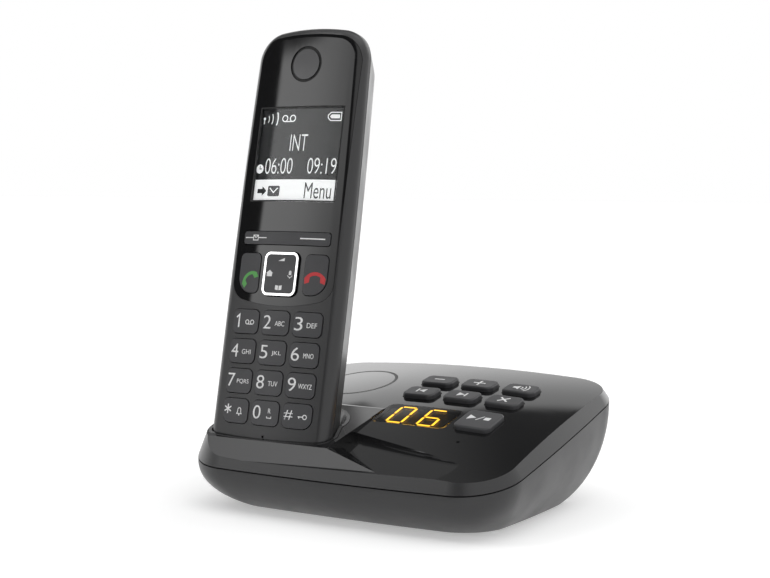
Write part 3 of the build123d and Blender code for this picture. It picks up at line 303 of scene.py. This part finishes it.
def stroke(points, width, closed=False):
    # a line of even width along points; a sharp corner's mitre is cut short
    bm = bmesh.new()
    count = len(points)
    ways = [heading(a, b) for a, b in zip(points, points[1:] + (points[:1] if closed else []))]
    sides = []
    for i, (x, y) in enumerate(points):
        before = ways[i - 1] if closed or i else ways[0]
        after = ways[min(i, len(ways) - 1)]
        tx, ty = before[0] + after[0], before[1] + after[1]
        length = hypot(tx, ty) or 1.0
        reach = width / 2 / max(0.5, length / 2)
        nx, ny = -ty / length * reach, tx / length * reach
        sides.append((bm.verts.new((x + nx, y + ny, 0)), bm.verts.new((x - nx, y - ny, 0))))
    for i in range(len(ways)):
        a, b = sides[i], sides[(i + 1) % count]
        bm.faces.new((a[1], b[1], b[0], a[0]))
    return bm


def arc(cx, cy, radius, start, end, steps):
    turns = [radians(start + (end - start) * i / steps) for i in range(steps + 1)]
    return [(cx + radius * cos(t), cy + radius * sin(t)) for t in turns]


def circle(cx, cy, radius, sides):
    return arc(cx, cy, radius, 0, 360 * (1 - 1 / sides), sides - 1)


def rectangle(left, low, right, high):
    return [(left, low), (right, low), (right, high), (left, high)]


def letters(text, cx, cy, height, width, thin=0.0):
    # words or figures centred on (cx, cy), scaled to a height and a width
    curve = bpy.data.curves.new("lettering", "FONT")
    curve.body = text
    curve.size = 1.0
    curve.offset = -thin
    curve.resolution_u = 5
    holder = bpy.data.objects.new("lettering", curve)
    bpy.context.scene.collection.objects.link(holder)
    bpy.context.view_layer.update()
    mesh = bpy.data.meshes.new_from_object(holder)
    bpy.data.objects.remove(holder)
    bpy.data.curves.remove(curve)
    bm = bmesh.new()
    bm.from_mesh(mesh)
    bpy.data.meshes.remove(mesh)
    bmesh.ops.remove_doubles(bm, verts=bm.verts, dist=1e-5)
    xs, ys = [v.co.x for v in bm.verts], [v.co.y for v in bm.verts]
    sx, sy = width / (max(xs) - min(xs)), height / (max(ys) - min(ys))
    mx, my = (max(xs) + min(xs)) / 2, (max(ys) + min(ys)) / 2
    for v in bm.verts:
        v.co = ((v.co.x - mx) * sx + cx, (v.co.y - my) * sy + cy, 0)
    return bm


ink = {"thick": 0.04, "thin": 0.02, "longEdge": 3.0, "cuts": 6}


def lay(name, shapes, surface, centre, lift, mat, body, thick=ink["thick"]):
    # joins flat shapes, makes them a thin solid and bends them onto a surface, round a centre
    whole = bmesh.new()
    for bm in shapes:
        part = bpy.data.meshes.new("part")
        bm.to_mesh(part)
        bm.free()
        whole.from_mesh(part)
        bpy.data.meshes.remove(part)
    bmesh.ops.recalc_face_normals(whole, faces=whole.faces)
    for f in whole.faces:
        if f.normal.z < 0:
            f.normal_flip()
    longEdges = [e for e in whole.edges if e.calc_length() > ink["longEdge"]]
    if longEdges:
        bmesh.ops.subdivide_edges(whole, edges=longEdges, cuts=ink["cuts"], use_grid_fill=True)
    raised = bmesh.ops.extrude_face_region(whole, geom=whole.faces[:])
    top = {g for g in raised["geom"] if isinstance(g, bmesh.types.BMVert)}
    for v in whole.verts:
        v.co = surface(centre[0] + v.co.x, centre[1] + v.co.y, lift + (thick if v in top else 0.0))
    bmesh.ops.recalc_face_normals(whole, faces=whole.faces)
    mesh = bpy.data.meshes.new(name)
    whole.to_mesh(mesh)
    whole.free()
    mesh.materials.append(mats[mat])
    piece = bpy.data.objects.new(name, mesh)
    bpy.context.scene.collection.objects.link(piece)
    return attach(piece, body)


def tapeSign(cx, cy, radius, width):
    # two reels joined by a bar, for voice mail
    left, right = cx - radius * 1.5, cx + radius * 1.5
    reels = [stroke(circle(x, cy, radius, 16), width, True) for x in (left, right)]
    return reels + [stroke([(left, cy - radius), (right, cy - radius)], width)]


# number keys: name, digit and letters of each, row by row from below
numberKeys = {
    "pitch": (13.34, 10.7), "firstRow": 9.3, "proud": 0.35,
    "digitAt": (-3.5, 0.2), "digitSize": (4.8, 3.3), "hashSize": (3.4, 3.6), "thin": 0.004,
    "starAt": (-3.5, 0.5), "starRadius": 1.7, "starLine": 0.5, "oneLine": 0.62,
    "wordAt": (1.9, -0.2), "wordHeight": 1.75, "letterWidth": 1.35, "signLine": 0.3,
    "rows": [
        (("star", "*", ""), ("0", "0", ""), ("hash", "#", "")),
        (("7", "7", "PQRS"), ("8", "8", "TUV"), ("9", "9", "WXYZ")),
        (("4", "4", "GHI"), ("5", "5", "JKL"), ("6", "6", "MNO")),
        (("1", "1", ""), ("2", "2", "ABC"), ("3", "3", "DEF")),
    ],
}


def starSign(u, v, radius, line):
    rays = []
    for turn in (90, 30, -30):
        du, dv = radius * cos(radians(turn)), radius * sin(radians(turn))
        rays.append(stroke([(u - du, v - dv), (u + du, v + dv)], line))
    return rays


def digitSign(digit):
    # a star and a one are plain strokes, the others are figures
    u, v = numberKeys["digitAt"]
    if digit == "*":
        return starSign(*numberKeys["starAt"], numberKeys["starRadius"], numberKeys["starLine"])
    if digit == "1":
        return [stroke([(u - 0.9, 1.4), (u + 0.35, 2.4), (u + 0.35, -2.2)], numberKeys["oneLine"])]
    height, width = numberKeys["hashSize" if digit == "#" else "digitSize"]
    return [letters(digit, u, v, height, width, numberKeys["thin"])]


def bellSign(u, v, line):
    # for the ringer
    side = [(0.7, 0.4), (0.75, -0.4), (1.1, -0.9)]
    bell = [(-x, y) for x, y in side[::-1]] + arc(0, 0.5, 0.7, 180, 0, 8) + side
    clapper = outline(circle(u, v - 1.25, 0.3, 10))
    return [stroke([(u + x, v + 0.1 + y) for x, y in bell], line, True), clapper]


def recallSign(u, v, line):
    # an R over a blank
    blank = [(u - 0.9, v - 0.8), (u - 0.9, v - 1.4), (u + 0.9, v - 1.4), (u + 0.9, v - 0.8)]
    return [letters("R", u, v + 1.1, 1.7, 1.1), stroke(blank, line)]


def lockSign(u, v, line):
    # a small key
    bow = stroke(circle(u + 1.2, v + 0.1, 0.75, 16), line, True)
    shaft = stroke([(u - 1.5, v + 0.1), (u + 0.5, v + 0.1)], line)
    bit = stroke([(u - 1.0, v + 0.1), (u - 1.0, v - 0.55)], line)
    return [bow, shaft, bit]


def keySigns(name, digit, word):
    shapes = digitSign(digit)
    u, v = numberKeys["wordAt"]
    line = numberKeys["signLine"]
    if word:
        width = numberKeys["letterWidth"] * len(word)
        shapes.append(letters(word, u, v, numberKeys["wordHeight"], width))
    if name == "1":
        shapes += tapeSign(u, v, 0.75, line)
    if name == "star":
        shapes += bellSign(u, v, line)
    if name == "0":
        shapes += recallSign(u, v, 0.28)
    if name == "hash":
        shapes += lockSign(u, v, line)
    return shapes


for row, keys in enumerate(numberKeys["rows"]):
    for column, (name, digit, word) in enumerate(keys):
        across, up = numberKeys["pitch"]
        centre = ((column - 1) * across, numberKeys["firstRow"] + row * up)
        lay("sign_key_" + name, keySigns(name, digit, word), facePoint, centre, numberKeys["proud"],
            "legendWhite", "key_" + name + "_body")
print("number keys lettered")

# talk and end keys: a lifted and a resting receiver, its form given for a size of 1
callKeys = {
    "talk": {"centre": (-14.6, 57.9), "size": 5.6, "turn": 35, "ink": "legendGreen"},
    "end": {"centre": (14.3, 58.9), "size": 6.2, "turn": 0, "ink": "legendRed"},
}
receiverForm = {
    "grip": arc(0, -0.62, 0.72, 150, 30, 14), "gripWidth": 0.2,
    "pad": [(0.34, -0.1), (0.68, -0.22), (0.66, -0.5), (0.36, -0.4)],
    "proud": 0.35,
}


def receiver(size, turn):
    # curved grip with an ear piece and a mouth piece
    s, c = sin(radians(turn)), cos(radians(turn))

    def turned(points):
        return [(size * (x * c - y * s), size * (x * s + y * c)) for x, y in points]

    shapes = [stroke(turned(receiverForm["grip"]), size * receiverForm["gripWidth"])]
    for side in (-1, 1):
        pad = [(x * side, y) for x, y in receiverForm["pad"]]
        shapes.append(outline(turned(pad[::-side])))
    return shapes


for name, key in callKeys.items():
    lay("sign_" + name + "_key", receiver(key["size"], key["turn"]), facePoint, key["centre"],
        receiverForm["proud"], key["ink"], name + "_key_body")

# soft keys: a line on each side, the left one broken by a small envelope
softKeys = {
    "v": 71.9, "proud": 0.35,
    "lines": ((-18.0, -14.5, 0.35), (-11.9, -8.3, 0.35), (6.4, 16.6, 0.45)),  # from, to, width
    "envelope": {"u": -13.2, "halfWidth": 1.1, "halfHeight": 0.9, "line": 0.3},
}
envelope = softKeys["envelope"]
left, right = envelope["u"] - envelope["halfWidth"], envelope["u"] + envelope["halfWidth"]
low, high = -envelope["halfHeight"], envelope["halfHeight"]
softMarks = [stroke([(start, 0), (end, 0)], width) for start, end, width in softKeys["lines"]]
softMarks.append(stroke(rectangle(left, low, right, high), envelope["line"], True))
softMarks.append(stroke([(left, high), (envelope["u"], 0), (right, high)], envelope["line"]))
lay("sign_softkey", softMarks, facePoint, (0, softKeys["v"]), softKeys["proud"],
    "legendWhite", "softkey_body")

# navigation key: loudness wedge above, house and microphone beside, book below
navKey = {
    "centre": (0, 58.9), "proud": 1.0,
    "wedge": [(-1.3, 4.6), (1.4, 4.6), (1.4, 5.7)],
    "house": [(-5.6, -1.0), (-3.4, -1.0), (-3.4, 0.1), (-3.0, 0.1), (-4.5, 1.3), (-6.0, 0.1), (-5.6, 0.1)],
    "microphone": {"u": 4.4, "low": -0.3, "high": 0.7, "radius": 0.55},
    "holder": {"v": -0.1, "radius": 1.05, "line": 0.25},
    "stem": {"low": -1.6, "high": -1.0, "line": 0.3},
    "pages": ([(-1.4, -5.7), (-0.15, -5.9), (-0.15, -4.3), (-1.4, -4.1)],
              [(0.15, -5.9), (1.4, -5.7), (1.4, -4.1), (0.15, -4.3)]),
}


def navPoint(u, v, lift):
    # the pad's top is flat
    return facePoint(0, v, lift) + Vector((u * mm, 0, 0))


def microphoneSign(capsule, holder, stem):
    u, r = capsule["u"], capsule["radius"]
    head = outline(circle(u, capsule["high"], r, 14))
    body = outline(rectangle(u - r, capsule["low"], u + r, capsule["high"]))
    bow = stroke(arc(u, holder["v"], holder["radius"], 200, 340, 8), holder["line"])
    return [head, body, bow, stroke([(u, stem["high"]), (u, stem["low"])], stem["line"])]


navMarks = [outline(navKey["wedge"]), outline(navKey["house"])]
navMarks += microphoneSign(navKey["microphone"], navKey["holder"], navKey["stem"])
navMarks += [outline(page) for page in navKey["pages"]]
lay("sign_nav", navMarks, navPoint, navKey["centre"], navKey["proud"],
    "legendWhite", "nav_body")
print("call and navigation keys lettered")

# handset display: a dark sheet under the window with its picture on it, in a black border
lcd = {
    "half": 17.8, "low": 85.8, "high": 119.7, "menuTop": 93.5,
    "lift": -1.5, "sheetBelow": 0.05, "layer": 0.03,
    "border": {"gap": 0.25, "line": 0.5, "thick": 0.03},
}
status = {
    "mast": {"u": -16.8, "low": 114.2, "high": 116.2, "line": 0.45, "tip": 0.55},
    "waves": {"centre": (-16.9, 116.0), "arcs": ((2.3, 34, 0.32), (4.1, 27, 0.4), (6.4, 22, 0.5))},
    "tape": (-5.5, 116.0, 1.15, 0.4),
    "charge": [(12.6, 115.8), (15.9, 115.8), (15.9, 117.2), (12.6, 117.2), (11.9, 116.5)],
    "cell": [(12.3, 115.0), (16.5, 115.0), (16.5, 118.0), (12.3, 118.0), (11.2, 117.0), (11.2, 116.0)],
    "cellLine": 0.32,
}
clock = {"centre": (-16.3, 97.5), "radius": 1.7, "minute": 1.2, "hour": 0.9, "line": 0.35}
readings = {
    # text, centre, height and width
    "words": (("INT", 0.0, 107.0, 6.0, 7.4),
              ("06:00", -7.7, 98.5, 5.8, 12.3),
              ("09:19", 10.8, 98.5, 5.8, 11.8)),
    "thin": 0.012,
}
menu = {
    "word": ("Menu", 10.3, 89.5, 5.8, 11.0),
    "arrow": [(-16.2, 88.5), (-14.0, 88.5), (-14.0, 87.5), (-12.0, 89.3),
              (-14.0, 91.1), (-14.0, 90.1), (-16.2, 90.1)],
    "envelope": [(-11.0, 87.3), (-6.4, 87.3), (-6.0, 87.8), (-6.0, 90.8),
                 (-6.4, 91.2), (-11.0, 91.2), (-11.4, 90.8), (-11.4, 87.8)],
    "flap": [(-10.5, 90.4), (-8.7, 88.7), (-6.9, 90.4)], "flapLine": 0.4,
}


def statusSigns():
    # signal, voice mail and battery along the top
    mast, waves = status["mast"], status["waves"]
    shapes = [stroke([(mast["u"], mast["low"]), (mast["u"], mast["high"])], mast["line"])]
    shapes.append(outline(circle(mast["u"], mast["high"], mast["tip"], 12)))
    for radius, spread, line in waves["arcs"]:
        shapes.append(stroke(arc(*waves["centre"], radius, -spread, spread, 8), line))
    shapes += tapeSign(*status["tape"])
    return shapes + [outline(status["charge"]), stroke(status["cell"], status["cellLine"], True)]


def layOnLcd(name, shapes, layer, mat, thick=ink["thin"]):
    lay(name, shapes, facePoint, (0, 0), lcd["lift"] + layer, mat, "handset", thick)


half, low, high = lcd["half"], lcd["low"], lcd["high"]
layOnLcd("lcd_sheet", [outline(rectangle(-half, low, half, high))], -lcd["sheetBelow"], "lcdDark", ink["thick"])
picture = statusSigns()
picture += [letters(*word, readings["thin"]) for word in readings["words"]]
picture.append(outline(circle(*clock["centre"], clock["radius"], 20)))
picture.append(outline(rectangle(-half, low, half, lcd["menuTop"])))
layOnLcd("lcd_picture", picture, 0, "lcdWhite")
u, v = clock["centre"]
hands = stroke([(u, v + clock["minute"]), (u, v), (u + clock["hour"], v)], clock["line"])
darkMarks = [outline(menu["arrow"]), outline(menu["envelope"]), letters(*menu["word"]), hands]
layOnLcd("lcd_dark_marks", darkMarks, lcd["layer"], "lcdDark")
layOnLcd("lcd_flap", [stroke(menu["flap"], menu["flapLine"])], 2 * lcd["layer"], "lcdWhite")
gap = lcd["border"]["gap"]
border = stroke(rectangle(-half - gap, low - gap, half + gap, high + gap), lcd["border"]["line"], True)
lay("lcd_border", [border], facePoint, (0, 0), 0.0, "inkAndGrooveShade", "handset",
    lcd["border"]["thick"])
print("display drawn")

# base: symbols on the rubber keys, each drawn round its key's centre
deckKeys = {
    "centres": {
        "minus": (1.8, 25.4), "plus": (18.7, 25.4), "speaker": (35.6, 25.4),
        "previous": (1.8, 11.6), "next": (18.7, 11.6), "delete": (35.6, 11.6),
        "play": (35.8, -8.2),
    },
    "proud": 1.7, "line": 0.75,
}


def crossing(reach, gap, turn, line):
    # one whole line, and another in two halves that end beside it
    s, c = sin(radians(turn)), cos(radians(turn))
    whole = stroke([(-reach * c, -reach * s), (reach * c, reach * s)], line)
    upper = stroke([(-gap * s, gap * c), (-reach * s, reach * c)], line)
    lower = stroke([(reach * s, -reach * c), (gap * s, -gap * c)], line)
    return [whole, upper, lower]


def speakerSign():
    horn = [(-3.0, -0.8), (-1.9, -0.8), (-0.6, -1.9), (-0.6, 1.9), (-1.9, 0.8), (-3.0, 0.8)]
    return [outline(horn)] + [stroke(arc(-1.0, 0, radius, -42, 42, 8), 0.45) for radius in (1.6, 2.9, 4.2)]


def skipSign(facing):
    # a triangle against a bar
    triangle = [(-1.7 * facing, -1.6), (1.1 * facing, 0), (-1.7 * facing, 1.6)]
    bar = rectangle(1.2 * facing, -1.6, 1.9 * facing, 1.6)
    return [outline(triangle[::facing]), outline(bar[::facing])]


def playSign():
    # play, a slash and stop
    triangle = [(-4.4, -1.2), (-1.4, 0.7), (-4.4, 2.6)]
    slash = stroke([(-0.8, -1.1), (1.2, 2.4)], 0.4)
    return [outline(triangle), slash, outline(rectangle(1.8, -0.4, 4.0, 1.8))]


deckLine = deckKeys["line"]
diagonal = sqrt(2)
deckSigns = {
    "minus": [stroke([(-2.1, 0), (2.1, 0)], deckLine)],
    "plus": crossing(2.4, deckLine / 2, 0, deckLine),
    "speaker": speakerSign(),
    "previous": skipSign(-1),
    "next": skipSign(1),
    "delete": crossing(1.8 * diagonal, 0.27 * diagonal, 45, deckLine),
    "play": playSign(),
}
for name, shapes in deckSigns.items():
    lay("sign_deck_" + name, shapes, deckPoint, deckKeys["centres"][name], deckKeys["proud"],
        "legendWhite", "key_" + name + "_body")

# message counter: two seven-segment figures, lit amber, in the smoked window
counter = {
    "figures": ((4.5, "abcdef"), (16.9, "acdefg")), "y": -8.15,
    "width": 6.2, "height": 13.7, "line": 0.9, "gap": 0.3, "lean": -0.06,
    "lift": -0.5, "thick": 0.03,
}


def segment(ax, ay, bx, by):
    # a bar with pointed ends, a little short of its neighbours
    tx, ty = heading((ax, ay), (bx, by))
    k, gap = counter["line"] / 2, counter["gap"]
    nx, ny = -ty * k, tx * k
    ax, ay, bx, by = ax + tx * gap, ay + ty * gap, bx - tx * gap, by - ty * gap
    return [(ax, ay), (ax + tx * k - nx, ay + ty * k - ny), (bx - tx * k - nx, by - ty * k - ny), (bx, by),
            (bx - tx * k + nx, by - ty * k + ny), (ax + tx * k + nx, ay + ty * k + ny)]


w, h = counter["width"] / 2, counter["height"] / 2
segmentEnds = {
    "a": (-w, h, w, h), "b": (w, 0, w, h), "c": (w, -h, w, 0), "d": (-w, -h, w, -h),
    "e": (-w, -h, -w, 0), "f": (-w, 0, -w, h), "g": (-w, 0, w, 0),
}
lit = []
for x, names in counter["figures"]:
    for name in names:
        bar = segment(*segmentEnds[name])
        lit.append(outline([(x + bx + counter["lean"] * by, by) for bx, by in bar]))
lay("counter_figures", lit, deckPoint, (0, counter["y"]), counter["lift"],
    "ledAmber", "base", counter["thick"])
print("base keys and counter lettered")

# black rings laid in the recesses round the earpiece and the paging key: painted shade
grooveShades = {
    "earpiece": {"centre": (0.0, 135.7), "inner": 5.63, "outer": 6.67, "lift": -1.0, "thick": 0.6},
    "paging": {"centre": (-32.4, 22.0), "inner": 14.05, "outer": 15.2, "lift": 0.0, "thick": 0.03},
}


def layGrooveShade(name, surface, body):
    shadeRing = grooveShades[name]
    middle = (shadeRing["inner"] + shadeRing["outer"]) / 2
    # the ring is a black sheet put where the recess holds only shade: painted shade
    ring = stroke(circle(0, 0, middle, 64), shadeRing["outer"] - shadeRing["inner"], True)
    lay("painted_shade_" + name, [ring], surface, shadeRing["centre"], shadeRing["lift"],
        "inkAndGrooveShade", body, shadeRing["thick"])


layGrooveShade("earpiece", facePoint, "handset")
layGrooveShade("paging", deckPoint, "base")
print("grooves laid")

# camera, its place in metres and its turns in radians
view = {"place": (0.2865, -0.4811, 0.1184), "turn": 0.55, "down": 0.0725,
        "lens": 72.47, "sensor": 36.0, "near": 0.01}
camera = bpy.data.objects.new("camera", bpy.data.cameras.new("camera"))
camera.data.lens = view["lens"]
camera.data.sensor_width = view["sensor"]
camera.data.clip_start = view["near"]
camera.location = view["place"]
camera.rotation_euler = (pi / 2 - view["down"], 0, view["turn"])
bpy.context.scene.collection.objects.link(camera)
bpy.context.scene.camera = camera

# floor: brightened to white for the camera and in reflections, and it keeps the object's shadow
floorLook = {"size": 12, "color": (0.8, 0.8, 0.8, 1), "seen": 0.36, "mirrored": 0.5}
floorMat = bpy.data.materials.new("floorWhite")
floorMat.use_nodes = True
tree = floorMat.node_tree
tree.nodes.clear()
paint = tree.nodes.new("ShaderNodeBsdfDiffuse")
paint.inputs["Color"].default_value = floorLook["color"]
glow = tree.nodes.new("ShaderNodeEmission")
rays = tree.nodes.new("ShaderNodeLightPath").outputs
seen = mathNode(tree, "MAXIMUM", rays["Is Camera Ray"], rays["Is Transmission Ray"])
seen = mathNode(tree, "MULTIPLY", seen, floorLook["seen"])
mirrored = mathNode(tree, "MULTIPLY", rays["Is Glossy Ray"], floorLook["mirrored"])
feed(tree, mathNode(tree, "ADD", seen, mirrored), glow.inputs["Strength"])
both = tree.nodes.new("ShaderNodeAddShader")
out = tree.nodes.new("ShaderNodeOutputMaterial")
feed(tree, paint.outputs[0], both.inputs[0])
feed(tree, glow.outputs[0], both.inputs[1])
feed(tree, both.outputs[0], out.inputs["Surface"])
bpy.ops.mesh.primitive_plane_add(size=floorLook["size"])
floor = bpy.context.object
floor.name = "floor"
floor.data.materials.append(floorMat)

# studio round the object: soft cards in the world, plain white for the camera
studio = {
    "between": 0.09,  # strength where no card is
    "overhead": {"low": 45, "high": 80, "strength": 1.1},
    "backdrop": 1.0,
    "leanTurn": -135.0,  # where a leaned card has its stated height
}
cards = [
    # degrees: turn from +Y towards +X, height over the horizon, and how softly each ends
    {"turn": (-143, -134), "turnSoft": (32, 1.5), "height": (18, 22.6), "heightSoft": (18, 0.8),
     "strength": 2.8, "lean": 0.19},
    {"turn": (-98, 10), "turnSoft": (6, 30), "height": (-20, 27), "heightSoft": (5, 2), "strength": 0.8},
    {"turn": (-37.5, 10), "turnSoft": (0.7, 30), "height": (29, 31.5), "heightSoft": (2, 2.5), "strength": 0.8},
    {"turn": (-98, 10), "turnSoft": (6, 30), "height": (-20, 19), "heightSoft": (5, 12), "strength": 0.7},
    {"turn": (-100, -39), "turnSoft": (5, 10), "height": (20, 50), "heightSoft": (5, 20), "strength": 0.2},
    {"turn": (-128, -116), "turnSoft": (8, 3), "height": (44, 60), "heightSoft": (3, 8), "strength": 4.2},
    {"turn": (-130, -104), "turnSoft": (6, 6), "height": (-10, 8), "heightSoft": (4, 3), "strength": 1.3},
    {"turn": (10, 160), "turnSoft": (20, 20), "height": (-20, 60), "heightSoft": (5, 30), "strength": 0.9},
]
world = bpy.data.worlds.new("studio")
bpy.context.scene.world = world
world.use_nodes = True
tree = world.node_tree
tree.nodes.clear()


def within(measure, ends, soft):
    # 1 between the ends, falling to 0 softly beyond them
    rise = ramp(tree, measure, ends[0] - soft[0], ends[0], 0, 1)
    fall = ramp(tree, measure, ends[1], ends[1] + soft[1], 1, 0)
    return mathNode(tree, "MULTIPLY", rise, fall)


look = axes(tree, "ShaderNodeTexCoord", "Generated")
turn = mathNode(tree, "DEGREES", mathNode(tree, "ARCTAN2", look["X"], look["Y"]))
height = mathNode(tree, "DEGREES", mathNode(tree, "ARCSINE", look["Z"]))
total = studio["between"]
for card in cards:
    level = height
    if "lean" in card:
        away = mathNode(tree, "SUBTRACT", turn, studio["leanTurn"])
        level = mathNode(tree, "ADD", height, mathNode(tree, "MULTIPLY", away, card["lean"]))
    across = mathNode(tree, "MULTIPLY", within(turn, card["turn"], card["turnSoft"]), card["strength"])
    shine = mathNode(tree, "MULTIPLY", within(level, card["height"], card["heightSoft"]), across)
    total = mathNode(tree, "ADD", shine, total)
overhead = studio["overhead"]
above = ramp(tree, height, overhead["low"], overhead["high"], 0, overhead["strength"])
total = mathNode(tree, "ADD", total, above)
toCamera = tree.nodes.new("ShaderNodeLightPath").outputs["Is Camera Ray"]
background = tree.nodes.new("ShaderNodeBackground")
background.inputs["Color"].default_value = (1, 1, 1, 1)
feed(tree, mixNode(tree, "Float", toCamera, total, studio["backdrop"]), background.inputs["Strength"])
out = tree.nodes.new("ShaderNodeOutputWorld")
feed(tree, background.outputs[0], out.inputs["Surface"])
print("camera, floor and studio set")
